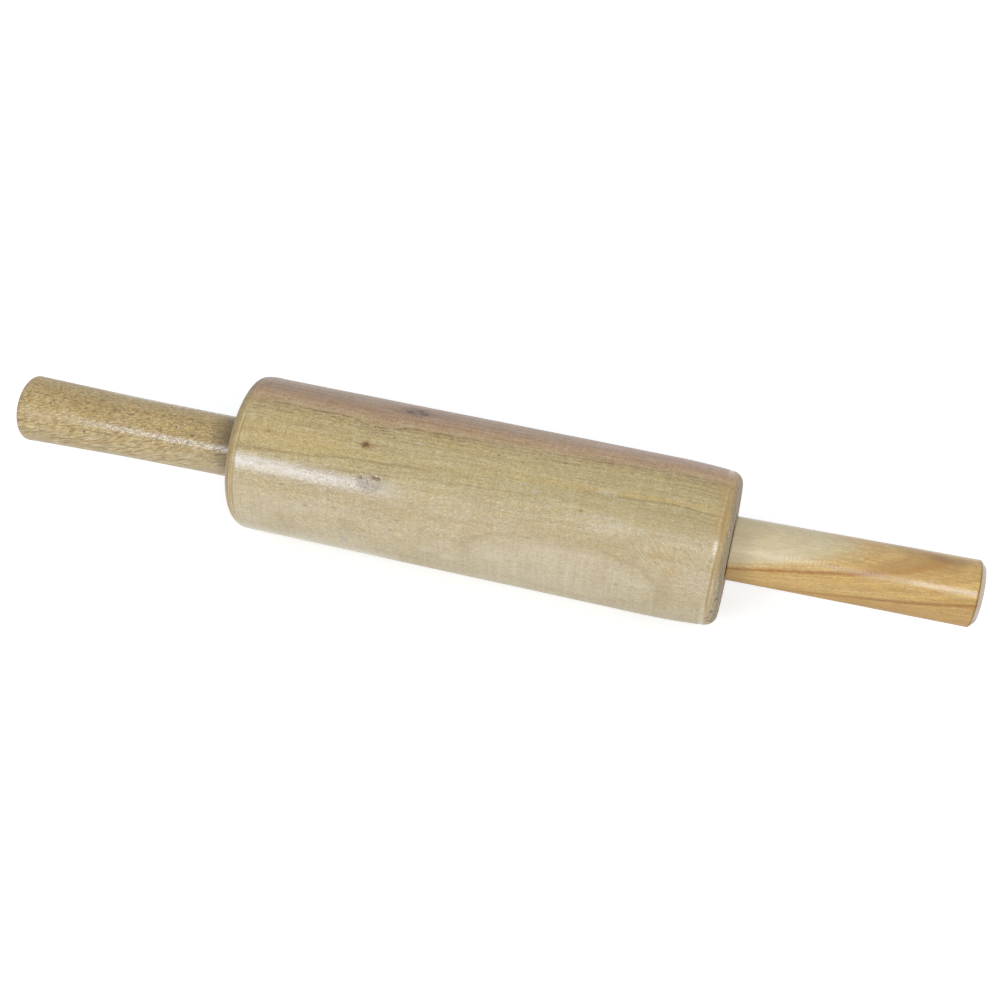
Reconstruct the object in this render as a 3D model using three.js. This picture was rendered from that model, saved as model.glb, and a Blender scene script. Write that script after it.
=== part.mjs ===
// Wooden rolling pin: a turned barrel that spins on a steel axle between two fixed handles.
// Sizes are in millimetres. X runs along the pin, Z is up, and the origin is the middle of the whole pin.
import * as THREE from 'three';

// Barrel: its body, its softened rims and the slimmer stretch beside the right rim
const BARREL_DIAMETER = 70;
const BARREL_LENGTH = 219;
const LEFT_RIM_LENGTH = 7.1;
const LEFT_RIM_DEPTH = 4.7;
const RIGHT_RIM_LENGTH = 4.9;
const RIGHT_RIM_DEPTH = 5.3;
const SLIM_LENGTH = 32;
const SLIM_DEPTH = 1.1;

// Left handle: how far it reaches past the barrel, its diameters and its rounded tip
const LEFT_REACH = 110.5;
const LEFT_ROOT_DIAMETER = 28.1;
const LEFT_MIDDLE_DIAMETER = 28.5;
const LEFT_TIP_DIAMETER = 30.5;
const LEFT_TIP_ROUND = 2.2;

// Right handle: straighter, with a bevelled tip
const RIGHT_REACH = 104;
const RIGHT_ROOT_DIAMETER = 28.2;
const RIGHT_MIDDLE_DIAMETER = 28.5;
const RIGHT_TIP_DIAMETER = 29.1;
const RIGHT_TIP_BEVEL = 2.2;

// Both handles: the softened corner that faces the barrel
const ROOT_ROUND = 0.8;

// Axle: a plain steel rod, with a straight knurl on each end that grips the glue in the handles
const AXLE_DIAMETER = 10;
const AXLE_GRIP = 58;
const AXLE_CHAMFER = 1;
const KNURL_LENGTH = 42;
const KNURL_DEPTH = 0.35;
const KNURL_RUNOUT = 1.2;

// Bushings: flanged plain bearings pressed into the barrel's ends
const BUSHING_DIAMETER = 16;
const BUSHING_LENGTH = 20;
const FLANGE_WIDTH = 3.4;
const FLANGE_THICKNESS = 2;
const BUSHING_CHAMFER = 0.6;

// Thrust washers between the bushings and the handles
const WASHER_DIAMETER = 22;
const WASHER_THICKNESS = 1.2;

// Clearances
const HANDLE_GAP = 0.6;
const END_PLAY = 0.3;
const SEAT_GAP = 0.3;
const PRESS_CLEARANCE = 0.15;
const RUNNING_CLEARANCE = 0.1;
const WASHER_CLEARANCE = 0.25;
const GLUE_CLEARANCE = 0.15;
const BARREL_BORE_CLEARANCE = 1;
const GLUE_POCKET = 2;

// Broken edges of the drilled holes, and the cone that a twist drill leaves
const MOUTH_CHAMFER = 0.7;
const DRILL_POINT_ANGLE = THREE.MathUtils.degToRad(118);

// Finishes
const BARREL_WOOD = { color: '#bdae8f', roughness: 0.38, metalness: 0 };
const LEFT_HANDLE_WOOD = { color: '#b5a27f', roughness: 0.42, metalness: 0 };
const RIGHT_HANDLE_WOOD = { color: '#c6ac7f', roughness: 0.42, metalness: 0 };
const STEEL = { color: '#b4b6b8', roughness: 0.35, metalness: 1 };
const NYLON = { color: '#ebe7dc', roughness: 0.5, metalness: 0 };

// Steps of the turned surfaces. The flats are wide enough for the barrel to lie still on one of them.
const TURN_FACETS = 24;
const ARC_STEPS = 6;
const HANDLE_STEPS = 12;
const SLIM_STEPS = 4;

// Places along one end of the pin, measured outwards from the barrel's end face
const washerOuter = HANDLE_GAP - END_PLAY;
const washerInner = washerOuter - WASHER_THICKNESS;
const flangeOuter = washerInner - END_PLAY;
const flangeInner = flangeOuter - FLANGE_THICKNESS;
const recessFloor = flangeInner - SEAT_GAP;
const bushingInner = flangeInner - BUSHING_LENGTH;
const seatFloor = bushingInner - SEAT_GAP;
const axleEnd = HANDLE_GAP + AXLE_GRIP;
const drillFloor = axleEnd + GLUE_POCKET;

// Radii that must agree from piece to piece
const axleRadius = AXLE_DIAMETER / 2;
const bushingRadius = BUSHING_DIAMETER / 2;
const flangeRadius = bushingRadius + FLANGE_WIDTH;
const recessRadius = Math.max(flangeRadius, WASHER_DIAMETER / 2) + PRESS_CLEARANCE;

// Where the barrel sits, so that the two handle tips lie at equal distances from the origin
const barrelMiddle = (LEFT_REACH - RIGHT_REACH) / 2;

const point = (radius, along) => new THREE.Vector2(radius, along);

// A quarter of an ellipse from one angle to the next, as points of a turning profile
function quarter(centreRadius, centreAlong, radial, axial, fromAngle, toAngle) {
  const arc = new THREE.EllipseCurve(centreRadius, centreAlong, radial, axial, fromAngle, toAngle);
  return arc.getPoints(ARC_STEPS);
}

// Turn a profile about X. Flats lie exactly at the drawn radius, with one centred under the pin.
function turn(profile) {
  const cornerScale = 1 / Math.cos(Math.PI / TURN_FACETS);
  const corners = profile.map((p) => point(p.x * cornerScale, p.y));
  const geometry = new THREE.LatheGeometry(corners, TURN_FACETS, Math.PI / TURN_FACETS, Math.PI * 2);
  return geometry.rotateZ(-Math.PI / 2);
}

// Turn a ring: its profile closes on its own first point
function turnRing(profile) {
  return turn([...profile, profile[0].clone()]);
}

function namedMesh(name, geometry, finish) {
  const mesh = new THREE.Mesh(geometry, new THREE.MeshStandardMaterial(finish));
  mesh.name = name;
  return mesh;
}

// Barrel: outside from left to right, then back through the stepped bore
function barrel() {
  const radius = BARREL_DIAMETER / 2;
  const slimRadius = radius - SLIM_DEPTH;
  const boreRadius = axleRadius + BARREL_BORE_CLEARANCE;
  const seatRadius = bushingRadius + PRESS_CLEARANCE;
  const half = BARREL_LENGTH / 2;
  const slimStart = half - SLIM_LENGTH;
  const rimStart = half - RIGHT_RIM_LENGTH;
  const slimming = new THREE.QuadraticBezierCurve(
    point(radius, slimStart),
    point(radius, (slimStart + rimStart) / 2),
    point(slimRadius, rimStart),
  );
  const leftRim = quarter(
    radius - LEFT_RIM_DEPTH, -half + LEFT_RIM_LENGTH,
    LEFT_RIM_DEPTH, LEFT_RIM_LENGTH, -Math.PI / 2, 0,
  );
  const rightRim = quarter(
    slimRadius - RIGHT_RIM_DEPTH, rimStart,
    RIGHT_RIM_DEPTH, RIGHT_RIM_LENGTH, 0, Math.PI / 2,
  );
  const outside = [...leftRim, ...slimming.getPoints(SLIM_STEPS), ...rightRim.slice(1)];
  const rightHole = [
    point(recessRadius + MOUTH_CHAMFER, half),
    point(recessRadius, half - MOUTH_CHAMFER),
    point(recessRadius, half + recessFloor),
    point(seatRadius, half + recessFloor),
    point(seatRadius, half + seatFloor),
    point(boreRadius, half + seatFloor),
  ];
  const leftHole = rightHole.map((p) => point(p.x, -p.y)).reverse();
  const mesh = namedMesh('barrel', turnRing([...outside, ...rightHole, ...leftHole]), BARREL_WOOD);
  mesh.position.x = barrelMiddle;
  return mesh;
}

// Axle: knurled by pushing in every other column of the turned surface near both ends
function axle() {
  const half = BARREL_LENGTH / 2 + axleEnd;
  const knurlEnd = half - AXLE_CHAMFER - KNURL_RUNOUT;
  const knurlStart = knurlEnd - KNURL_LENGTH;
  const rightHalf = [
    point(axleRadius, knurlStart - KNURL_RUNOUT),
    point(axleRadius, knurlStart),
    point(axleRadius, knurlEnd),
    point(axleRadius, half - AXLE_CHAMFER),
    point(axleRadius - AXLE_CHAMFER, half),
    point(0, half),
  ];
  const leftHalf = rightHalf.map((p) => point(p.x, -p.y)).reverse();
  const profile = [...leftHalf, ...rightHalf];
  const geometry = turn(profile);
  const places = geometry.attributes.position;
  const valleyScale = 1 - KNURL_DEPTH / axleRadius;
  for (let i = 0; i < places.count; i += 1) {
    const column = Math.floor(i / profile.length) % TURN_FACETS;
    const along = Math.abs(profile[i % profile.length].y);
    if (column % 2 === 1 && along >= knurlStart && along <= knurlEnd) {
      places.setY(i, places.getY(i) * valleyScale);
      places.setZ(i, places.getZ(i) * valleyScale);
    }
  }
  const mesh = namedMesh('axle_rod', geometry, STEEL);
  mesh.position.x = barrelMiddle;
  return mesh;
}

// Handle: up the blind hole from its drilled point, round the root corner and along the grip to the tip
function handle(name, reach, diameters, tip, wood) {
  const [rootRadius, middleRadius, tipRadius] = diameters.map((diameter) => diameter / 2);
  const holeRadius = axleRadius + GLUE_CLEARANCE;
  const drillDepth = holeRadius / Math.tan(DRILL_POINT_ANGLE / 2);
  const gripStart = HANDLE_GAP + ROOT_ROUND;
  const gripEnd = tip[0].y;
  const grip = new THREE.SplineCurve([
    point(rootRadius, gripStart),
    point(middleRadius, (gripStart + gripEnd) / 2),
    point(tipRadius, gripEnd),
  ]);
  const rootCorner = quarter(rootRadius - ROOT_ROUND, gripStart, ROOT_ROUND, ROOT_ROUND, -Math.PI / 2, 0);
  const profile = [
    point(0, drillFloor + drillDepth),
    point(holeRadius, drillFloor),
    point(holeRadius, HANDLE_GAP + MOUTH_CHAMFER),
    point(holeRadius + MOUTH_CHAMFER, HANDLE_GAP),
    ...rootCorner,
    ...grip.getPoints(HANDLE_STEPS).slice(1),
    ...tip.slice(1),
    point(0, reach),
  ];
  return namedMesh(name, turn(profile), wood);
}

function leftHandle() {
  const tipRadius = LEFT_TIP_DIAMETER / 2;
  const tip = quarter(
    tipRadius - LEFT_TIP_ROUND, LEFT_REACH - LEFT_TIP_ROUND,
    LEFT_TIP_ROUND, LEFT_TIP_ROUND, 0, Math.PI / 2,
  );
  const diameters = [LEFT_ROOT_DIAMETER, LEFT_MIDDLE_DIAMETER, LEFT_TIP_DIAMETER];
  return handle('left_handle', LEFT_REACH, diameters, tip, LEFT_HANDLE_WOOD);
}

function rightHandle() {
  const tipRadius = RIGHT_TIP_DIAMETER / 2;
  const tip = [
    point(tipRadius, RIGHT_REACH - RIGHT_TIP_BEVEL),
    point(tipRadius - RIGHT_TIP_BEVEL, RIGHT_REACH),
  ];
  const diameters = [RIGHT_ROOT_DIAMETER, RIGHT_MIDDLE_DIAMETER, RIGHT_TIP_DIAMETER];
  return handle('right_handle', RIGHT_REACH, diameters, tip, RIGHT_HANDLE_WOOD);
}

// Bushing: sleeve and flange in one ring, with lead-in chamfers on the sleeve and in the bore's mouth
function bushing(name) {
  const boreRadius = axleRadius + RUNNING_CLEARANCE;
  const profile = [
    point(boreRadius, bushingInner),
    point(bushingRadius - BUSHING_CHAMFER, bushingInner),
    point(bushingRadius, bushingInner + BUSHING_CHAMFER),
    point(bushingRadius, flangeInner),
    point(flangeRadius, flangeInner),
    point(flangeRadius, flangeOuter),
    point(boreRadius + BUSHING_CHAMFER, flangeOuter),
    point(boreRadius, flangeOuter - BUSHING_CHAMFER),
  ];
  return namedMesh(name, turnRing(profile), NYLON);
}

function washer(name) {
  const holeRadius = axleRadius + WASHER_CLEARANCE;
  const profile = [
    point(holeRadius, washerInner),
    point(WASHER_DIAMETER / 2, washerInner),
    point(WASHER_DIAMETER / 2, washerOuter),
    point(holeRadius, washerOuter),
  ];
  return namedMesh(name, turnRing(profile), STEEL);
}

// One end of the pin, drawn pointing along +X from the barrel's end face
function pinEnd(side, handleMesh) {
  const end = new THREE.Group();
  end.add(handleMesh, bushing(`${side}_bushing`), washer(`${side}_washer`));
  return end;
}

const rightEnd = pinEnd('right', rightHandle());
rightEnd.position.x = barrelMiddle + BARREL_LENGTH / 2;

const leftEnd = pinEnd('left', leftHandle());
leftEnd.position.x = barrelMiddle - BARREL_LENGTH / 2;
leftEnd.rotation.z = Math.PI;

const rollingPin = new THREE.Group();
rollingPin.add(barrel(), axle(), leftEnd, rightEnd);

export default rollingPin;
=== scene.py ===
# %% [markdown]
# # A turned wooden rolling pin
# The pin is three pieces of wood, each from a different plank: a thick barrel that spins, and two slim
# handles glued to the ends of a hidden steel axle. The solids that carry and move everything are loaded
# first and stay where they are. This lesson turns finer skins for the three woods, wears them, mixes their
# grain, and lights them as in a small studio.

# %% Load the solids
import math
from collections import namedtuple

import bmesh
import bpy
import numpy as np
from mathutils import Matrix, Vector


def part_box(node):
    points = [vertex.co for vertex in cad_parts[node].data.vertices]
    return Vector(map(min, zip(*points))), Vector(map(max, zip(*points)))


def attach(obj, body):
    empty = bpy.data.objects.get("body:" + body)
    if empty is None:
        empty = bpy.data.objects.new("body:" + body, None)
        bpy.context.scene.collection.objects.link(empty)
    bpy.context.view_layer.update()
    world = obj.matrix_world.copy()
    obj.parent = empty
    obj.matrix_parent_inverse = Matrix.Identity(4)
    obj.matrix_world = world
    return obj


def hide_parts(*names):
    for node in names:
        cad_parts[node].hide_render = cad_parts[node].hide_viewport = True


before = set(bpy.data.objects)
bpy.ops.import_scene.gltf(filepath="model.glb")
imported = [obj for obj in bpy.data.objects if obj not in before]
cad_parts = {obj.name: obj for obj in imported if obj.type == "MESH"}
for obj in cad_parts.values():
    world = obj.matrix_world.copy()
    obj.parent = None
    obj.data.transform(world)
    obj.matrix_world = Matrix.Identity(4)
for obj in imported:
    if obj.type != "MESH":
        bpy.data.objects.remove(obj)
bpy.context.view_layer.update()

MM = 0.001
scene = bpy.context.scene
scene.view_settings.view_transform = "Standard"
print("solids:", sorted(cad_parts))

# %% [markdown]
# The box of each solid gives the places that the skins must keep: where the barrel starts and ends, how
# thick it is, and how far each handle reaches. Reading them here keeps the skins true to the solids.

# %% Places read from the solids
barrel_low, barrel_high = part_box("barrel")
left_low, left_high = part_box("left_handle")
right_low, right_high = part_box("right_handle")
bushing_low, bushing_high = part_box("right_bushing")
axle_low, axle_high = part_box("axle_rod")
BARREL_RADIUS = barrel_high.z
FLOOR_HEIGHT = barrel_low.z
print(f"barrel {1000 * (barrel_high.x - barrel_low.x):.1f} mm long, {2000 * BARREL_RADIUS:.1f} mm thick")

# %% [markdown]
# The camera stands where the photographer stood: in front, a little to the right, looking down at about
# 49 degrees. The lens is a normal one of about 52 mm. The aim is a point on the pin's axis, moved by about
# a millimetre across the view so that the framing agrees.

# %% Camera
CAMERA_AZIMUTH = math.radians(15.37)
CAMERA_ELEVATION = math.radians(49.23)
CAMERA_DISTANCE = 633.9 * MM
CAMERA_AIM = Vector((9.36 * MM, 0, 0))
AIM_RIGHT = 1.1 * MM
AIM_UP = 0.8 * MM
LENS = 51.67


def look_back(azimuth, elevation):
    """The direction from the aim to a viewer at these angles."""
    flat = math.cos(elevation)
    return Vector((math.sin(azimuth) * flat, -math.cos(azimuth) * flat, math.sin(elevation)))


def add_camera():
    camera = bpy.data.objects.new("camera", bpy.data.cameras.new("camera"))
    scene.collection.objects.link(camera)
    back = look_back(CAMERA_AZIMUTH, CAMERA_ELEVATION)
    turn = (-back).to_track_quat("-Z", "Y")
    across = turn @ Vector((AIM_RIGHT, AIM_UP, 0))
    camera.rotation_mode = "QUATERNION"
    camera.rotation_quaternion = turn
    camera.location = CAMERA_AIM + across + back * CAMERA_DISTANCE
    camera.data.lens = LENS
    camera.data.clip_start = 10 * MM
    scene.camera = camera
    return camera


camera = add_camera()
print("camera at", tuple(round(value, 3) for value in camera.location))

# %% [markdown]
# A lathe makes every wooden piece of the pin, so one Geometry Nodes tree plays the lathe. Its input is a
# profile: a line of points, each with a place along the axis (X), a radius (Z) and how far the centre has
# wandered off the axle's line (Y). The tree makes a flat grid with one row for each profile point, and
# rolls it up about the X axis. Hand turning is never quite even, so the outside also gets a slow waviness
# and a fine ripple from the chisel. Spin or a Screw modifier could turn the profile too, but here the
# unevenness is part of the same rule.

# %% The lathe as a node tree
LATHE_INPUTS = (
    ("Columns", "NodeSocketInt"),
    ("Lean way", "NodeSocketVector"),
    ("Waviness", "NodeSocketFloat"),
    ("Wave length", "NodeSocketFloat"),
    ("Ripple depth", "NodeSocketFloat"),
    ("Ripple spacing", "NodeSocketFloat"),
    ("Seed", "NodeSocketFloat"),
    ("Wood", "NodeSocketMaterial"),
)
WAVES_AROUND = 0.35
RIPPLE_WANDER = 3.0
TOUCHING = 1e-6


def feed(tree, socket, value):
    """Link a socket to another, or set its value."""
    if isinstance(value, bpy.types.NodeSocket):
        tree.links.new(value, socket)
    else:
        socket.default_value = value


def add_node(tree, kind, inputs=None, **settings):
    """Add a node, set its options, and feed its inputs by name or number."""
    made = tree.nodes.new(kind)
    for name, value in settings.items():
        setattr(made, name, value)
    for key, value in (inputs or {}).items():
        feed(tree, made.inputs[key], value)
    return made


def calculate(tree, operation, *values):
    made = add_node(tree, "ShaderNodeMath", dict(enumerate(values)), operation=operation)
    return made.outputs[0]


def read_profile(tree, profile, row, value, kind):
    """A value of the profile point that belongs to a row of the grid."""
    found = add_node(tree, "GeometryNodeSampleIndex", {"Geometry": profile, "Index": row}, data_type=kind)
    feed(tree, found.inputs["Value"], value)
    return found.outputs[0]


def lathe_tree():
    tree = bpy.data.node_groups.new("turned_on_a_lathe", "GeometryNodeTree")
    tree.interface.new_socket("Profile", in_out="INPUT", socket_type="NodeSocketGeometry")
    names = {}
    for name, kind in LATHE_INPUTS:
        names[name] = tree.interface.new_socket(name, in_out="INPUT", socket_type=kind).identifier
    tree.interface.new_socket("Turned", in_out="OUTPUT", socket_type="NodeSocketGeometry")
    given = tree.nodes.new("NodeGroupInput").outputs
    profile = given["Profile"]

    def m(operation, *values):
        return calculate(tree, operation, *values)

    rows = add_node(tree, "GeometryNodeAttributeDomainSize", {"Geometry": profile}).outputs["Point Count"]
    grid = add_node(tree, "GeometryNodeMeshGrid", {
        "Size X": 1.0,
        "Size Y": 1.0,
        "Vertices X": rows,
        "Vertices Y": m("ADD", given["Columns"], 1.0),
    })
    position = tree.nodes.new("GeometryNodeInputPosition").outputs[0]
    flat = add_node(tree, "ShaderNodeSeparateXYZ", {0: position})
    row = m("ROUND", m("MULTIPLY", m("ADD", flat.outputs[0], 0.5), m("SUBTRACT", rows, 1.0)))
    angle = m("MULTIPLY", m("ADD", flat.outputs[1], 0.5), 2 * math.pi)

    profile_place = tree.nodes.new("GeometryNodeInputPosition").outputs[0]
    drawn = read_profile(tree, profile, row, profile_place, "FLOAT_VECTOR")
    drawn_x, off_centre, drawn_radius = add_node(tree, "ShaderNodeSeparateXYZ", {0: drawn}).outputs
    mark = add_node(tree, "GeometryNodeInputNamedAttribute", {"Name": "uneven"}, data_type="FLOAT")
    uneven = read_profile(tree, profile, row, mark.outputs[0], "FLOAT")

    wave_place = add_node(tree, "ShaderNodeCombineXYZ", {
        0: m("DIVIDE", drawn_x, given["Wave length"]),
        1: m("MULTIPLY", m("COSINE", angle), WAVES_AROUND),
        2: m("MULTIPLY", m("SINE", angle), WAVES_AROUND),
    }).outputs[0]
    wave = add_node(tree, "ShaderNodeTexNoise", {"Vector": wave_place, "W": given["Seed"], "Scale": 1.0},
                    noise_dimensions="4D").outputs[0]
    phase = m("ADD", m("DIVIDE", drawn_x, given["Ripple spacing"]), m("MULTIPLY", wave, RIPPLE_WANDER))
    ripple = m("ADD", m("MULTIPLY", m("COSINE", m("MULTIPLY", phase, 2 * math.pi)), 0.5), 0.5)
    cut = m("ADD", m("MULTIPLY", wave, given["Waviness"]), m("MULTIPLY", ripple, given["Ripple depth"]))
    radius = m("SUBTRACT", drawn_radius, m("MULTIPLY", cut, uneven))
    rolled = add_node(tree, "ShaderNodeCombineXYZ", {
        0: drawn_x,
        1: m("MULTIPLY", m("COSINE", angle), m("MULTIPLY", radius, -1.0)),
        2: m("MULTIPLY", m("SINE", angle), radius),
    }).outputs[0]
    aside = add_node(tree, "ShaderNodeVectorMath", {0: given["Lean way"], "Scale": off_centre},
                     operation="SCALE").outputs[0]
    placed = add_node(tree, "ShaderNodeVectorMath", {0: rolled, 1: aside}, operation="ADD").outputs[0]

    def then(kind, geometry, **inputs):
        return add_node(tree, kind, {"Geometry": geometry, **inputs}).outputs[0]

    turned = then("GeometryNodeSetPosition", grid.outputs["Mesh"], Position=placed)
    turned = then("GeometryNodeMergeByDistance", turned, Distance=TOUCHING)
    turned = then("GeometryNodeSetShadeSmooth", turned)
    turned = then("GeometryNodeRealizeInstances", turned)
    turned = then("GeometryNodeSetMaterial", turned, Material=given["Wood"])
    tree.links.new(turned, tree.nodes.new("NodeGroupOutput").inputs[0])
    return tree, names


LATHE, LATHE_NAMES = lathe_tree()
print("lathe inputs:", [name for name, _ in LATHE_INPUTS])

# %% [markdown]
# A profile grows point by point. Each stretch is cut into short steps, because fine steps let the surface
# carry small waves and dents later. Every point says where it lies: on the turned skin, which hand work
# makes uneven, on a sawn face, or in a drilled hole. A handle that was drilled askew leans away from the
# axle's line: its skin and face shift sideways in step with the distance from its root, and its hole stays.

# %% Profiles and turning
SKIN, FACE, HOLE = "skin", "face", "hole"
SKIN_STEP = 0.8 * MM
FACE_STEP = 2 * MM
HOLE_STEP = 6 * MM
RIM_STEPS = 16
LEAN_ANGLE = math.radians(39.7)
LEAN_WAY = Vector((0, math.cos(LEAN_ANGLE), math.sin(LEAN_ANGLE)))


def line_to(profile, x, radius, step, zone):
    """Go straight from the last point to a new one in equal steps."""
    last_x, last_radius, _ = profile[-1]
    count = max(1, round(math.hypot(x - last_x, radius - last_radius) / step))
    for i in range(1, count + 1):
        share = i / count
        profile.append((last_x + share * (x - last_x), last_radius + share * (radius - last_radius), zone))


def curve_to(profile, place_at, count):
    """Follow a function that gives x and radius for a share from 0 to 1."""
    for i in range(1, count + 1):
        x, radius = place_at(i / count)
        profile.append((x, radius, SKIN))


def turn_piece(name, profile, wood, root_x=0.0, slope=0.0, shift=0.0, **inputs):
    """Turn a profile on the lathe and keep the result as a plain mesh."""
    def off_centre(x, zone):
        return 0.0 if zone == HOLE else shift + slope * abs(x - root_x)

    line = bpy.data.meshes.new(name + "_profile")
    line.from_pydata([(x, off_centre(x, zone), radius) for x, radius, zone in profile], [], [])
    mark = line.attributes.new("uneven", "FLOAT", "POINT")
    mark.data.foreach_set("value", [float(zone == SKIN) for _, _, zone in profile])
    blank = bpy.data.objects.new(name + "_blank", line)
    scene.collection.objects.link(blank)
    lathe = blank.modifiers.new("lathe", "NODES")
    lathe.node_group = LATHE
    for key, value in {**inputs, "Lean way": LEAN_WAY, "Wood": wood}.items():
        lathe[LATHE_NAMES[key]] = value
    ready = blank.evaluated_get(bpy.context.evaluated_depsgraph_get())
    mesh = bpy.data.meshes.new_from_object(ready)
    mesh.name = name
    bpy.data.objects.remove(blank)
    piece = bpy.data.objects.new(name, mesh)
    scene.collection.objects.link(piece)
    face_outwards(mesh)
    print(f"{name}: {len(profile)} rows, {len(mesh.vertices)} points")
    return piece


def face_outwards(mesh):
    work = bmesh.new()
    work.from_mesh(mesh)
    bmesh.ops.remove_doubles(work, verts=work.verts, dist=TOUCHING)
    bmesh.ops.recalc_face_normals(work, faces=work.faces)
    work.to_mesh(mesh)
    work.free()


# %% [markdown]
# Finishes come before the shapes that wear them. A finish is a chain of shader nodes, and a small helper
# class keeps such a chain readable: each step is one call, and places are in millimetres, measured along
# and around the pin. The angle is zero in front, 90 degrees on top and 180 degrees at the back. On a
# leaning handle the places are measured from the leaning centre line. The class also holds the colour that
# the steps have mixed so far, as a painter's bench does.

# %% A bench for mixing finishes
VARNISH_IOR = 1.56
DARK_IS_BROWN = (0.8, 1.0, 1.4)
NOISE_MIDDLE = 0.5
NOISE_RANGE = (0.25, 0.75)
BEHIND = (130.0, 175.0)
SPOT_EDGE = (0.3, 1.0)
Spot = namedtuple("Spot", "x angle half_length half_width")


def paint(red, green, blue):
    """A colour as it looks on screen, 0 to 255, turned into the linear light that shaders use."""
    shares = [value / 255 for value in (red, green, blue)]
    return (*[s / 12.92 if s <= 0.04045 else ((s + 0.055) / 1.055) ** 2.4 for s in shares], 1.0)


class Finish:
    """Shader nodes of one material, added step by step."""

    def __init__(self, name, radius=0.0, root=0.0, slope=0.0, shift=0.0):
        self.material = bpy.data.materials.new(name)
        self.material.use_nodes = True
        self.tree = self.material.node_tree
        self.shader = self.tree.nodes["Principled BSDF"]
        self.radius = radius
        self.colour = None
        seen = self.tree.nodes.new("ShaderNodeTexCoord").outputs["Object"]
        scaled = add_node(self.tree, "ShaderNodeVectorMath", {0: seen, "Scale": 1000.0}, operation="SCALE")
        self.x, y, z = add_node(self.tree, "ShaderNodeSeparateXYZ", {0: scaled.outputs[0]}).outputs
        off_centre = self.total(self.times(self.apart(self.x, root), slope), shift)
        self.y = self.minus(y, self.times(off_centre, LEAN_WAY.y))
        self.z = self.minus(z, self.times(off_centre, LEAN_WAY.z))
        self.place = self.vector(self.x, self.y, self.z)
        self.angle = self.math("DEGREES", self.math("ARCTAN2", self.z, self.times(self.y, -1.0)))

    def math(self, operation, *values):
        return calculate(self.tree, operation, *values)

    def vector(self, x, y, z):
        return add_node(self.tree, "ShaderNodeCombineXYZ", {0: x, 1: y, 2: z}).outputs[0]

    def total(self, *values):
        result = values[0]
        for value in values[1:]:
            result = self.math("ADD", result, value)
        return result

    def times(self, *values):
        result = values[0]
        for value in values[1:]:
            result = self.math("MULTIPLY", result, value)
        return result

    def minus(self, first, second):
        return self.math("SUBTRACT", first, second)

    def larger(self, first, second):
        return self.math("MAXIMUM", first, second)

    def apart(self, value, centre):
        """How far a value lies from a centre, on either side."""
        return self.math("ABSOLUTE", self.minus(value, centre))

    def upright(self, angle):
        """Height above the centre line, measured along a spoke at an angle."""
        return self.total(self.times(self.y, -math.cos(angle)), self.times(self.z, math.sin(angle)))

    def grain(self, length, width, shift=0.0, tilt=0.0, **options):
        """Noise in cells of a length along the fibres and a width across them, in millimetres."""
        made = add_node(self.tree, "ShaderNodeMapping", {
            "Vector": self.place,
            "Location": (shift * length, shift * width, shift * width),
            "Rotation": (0.0, -math.radians(tilt), 0.0),
            "Scale": (length, width, width),
        }, vector_type="TEXTURE")
        return self.noise(made.outputs[0], **options)

    def noise(self, vector, detail=2.0, roughness=0.5, distortion=0.0):
        made = add_node(self.tree, "ShaderNodeTexNoise", {
            "Vector": vector,
            "Scale": 1.0,
            "Detail": detail,
            "Roughness": roughness,
            "Distortion": distortion,
        })
        return made.outputs[0]

    def sway(self, noise, amount):
        """A noise moved to swing about zero."""
        return self.times(self.minus(noise, NOISE_MIDDLE), amount)

    def ring_lines(self, rings, width, length, shift=0.0):
        """Noise that is drawn out along the growth rings."""
        place = self.vector(self.math("DIVIDE", rings, width), self.math("DIVIDE", self.x, length), shift)
        return self.noise(place, roughness=0.6)

    def spread(self, value, low, high, to_low=0.0, to_high=1.0):
        """Smoothly map a value from one range to another."""
        made = add_node(self.tree, "ShaderNodeMapRange", {
            "Value": value,
            "From Min": low,
            "From Max": high,
            "To Min": to_low,
            "To Max": to_high,
        }, interpolation_type="SMOOTHSTEP")
        return made.outputs[0]

    def around(self, low, high, to_low=0.0, to_high=1.0):
        """Smoothly map the angle. Behind, where it jumps to -180, the result returns to its start."""
        behind = self.spread(self.math("ABSOLUTE", self.angle), *BEHIND, 1.0, 0.0)
        share = self.times(self.spread(self.angle, low, high), behind)
        return self.total(self.times(share, to_high - to_low), to_low)

    def band(self, value, centre, half_width):
        """One where a value is at a centre, falling to zero on both sides."""
        return self.spread(self.apart(value, centre), 0.0, half_width, 1.0, 0.0)

    def spot(self, spot, wander=0.0):
        """One at the middle of a spot on the turned surface, falling smoothly to zero at its edge."""
        along = self.math("DIVIDE", self.minus(self.x, spot.x), spot.half_length)
        arc = self.times(self.minus(self.angle, spot.angle), math.radians(self.radius) / spot.half_width)
        far = self.math("SQRT", self.total(self.times(along, along), self.times(arc, arc)))
        return self.spread(self.total(far, wander), *SPOT_EDGE, 1.0, 0.0)

    def either(self, spots):
        """One at the middle of either of two spots."""
        first, second = [self.spot(spot) for spot in spots]
        return self.larger(first, second)

    def attribute(self, name):
        return add_node(self.tree, "ShaderNodeAttribute", attribute_name=name).outputs["Fac"]

    def ramp(self, value, stops):
        """Colours along a value, given as (value, colour) pairs."""
        low, high = stops[0][0], stops[-1][0]
        share = self.math("DIVIDE", self.minus(value, low), high - low)
        made = add_node(self.tree, "ShaderNodeValToRGB", {0: share})
        elements = made.color_ramp.elements
        while len(elements) < len(stops):
            elements.new(0.5)
        for element, (place, colour) in zip(elements, stops):
            element.position = (place - low) / (high - low)
            element.color = colour
        return made.outputs[0]

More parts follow.
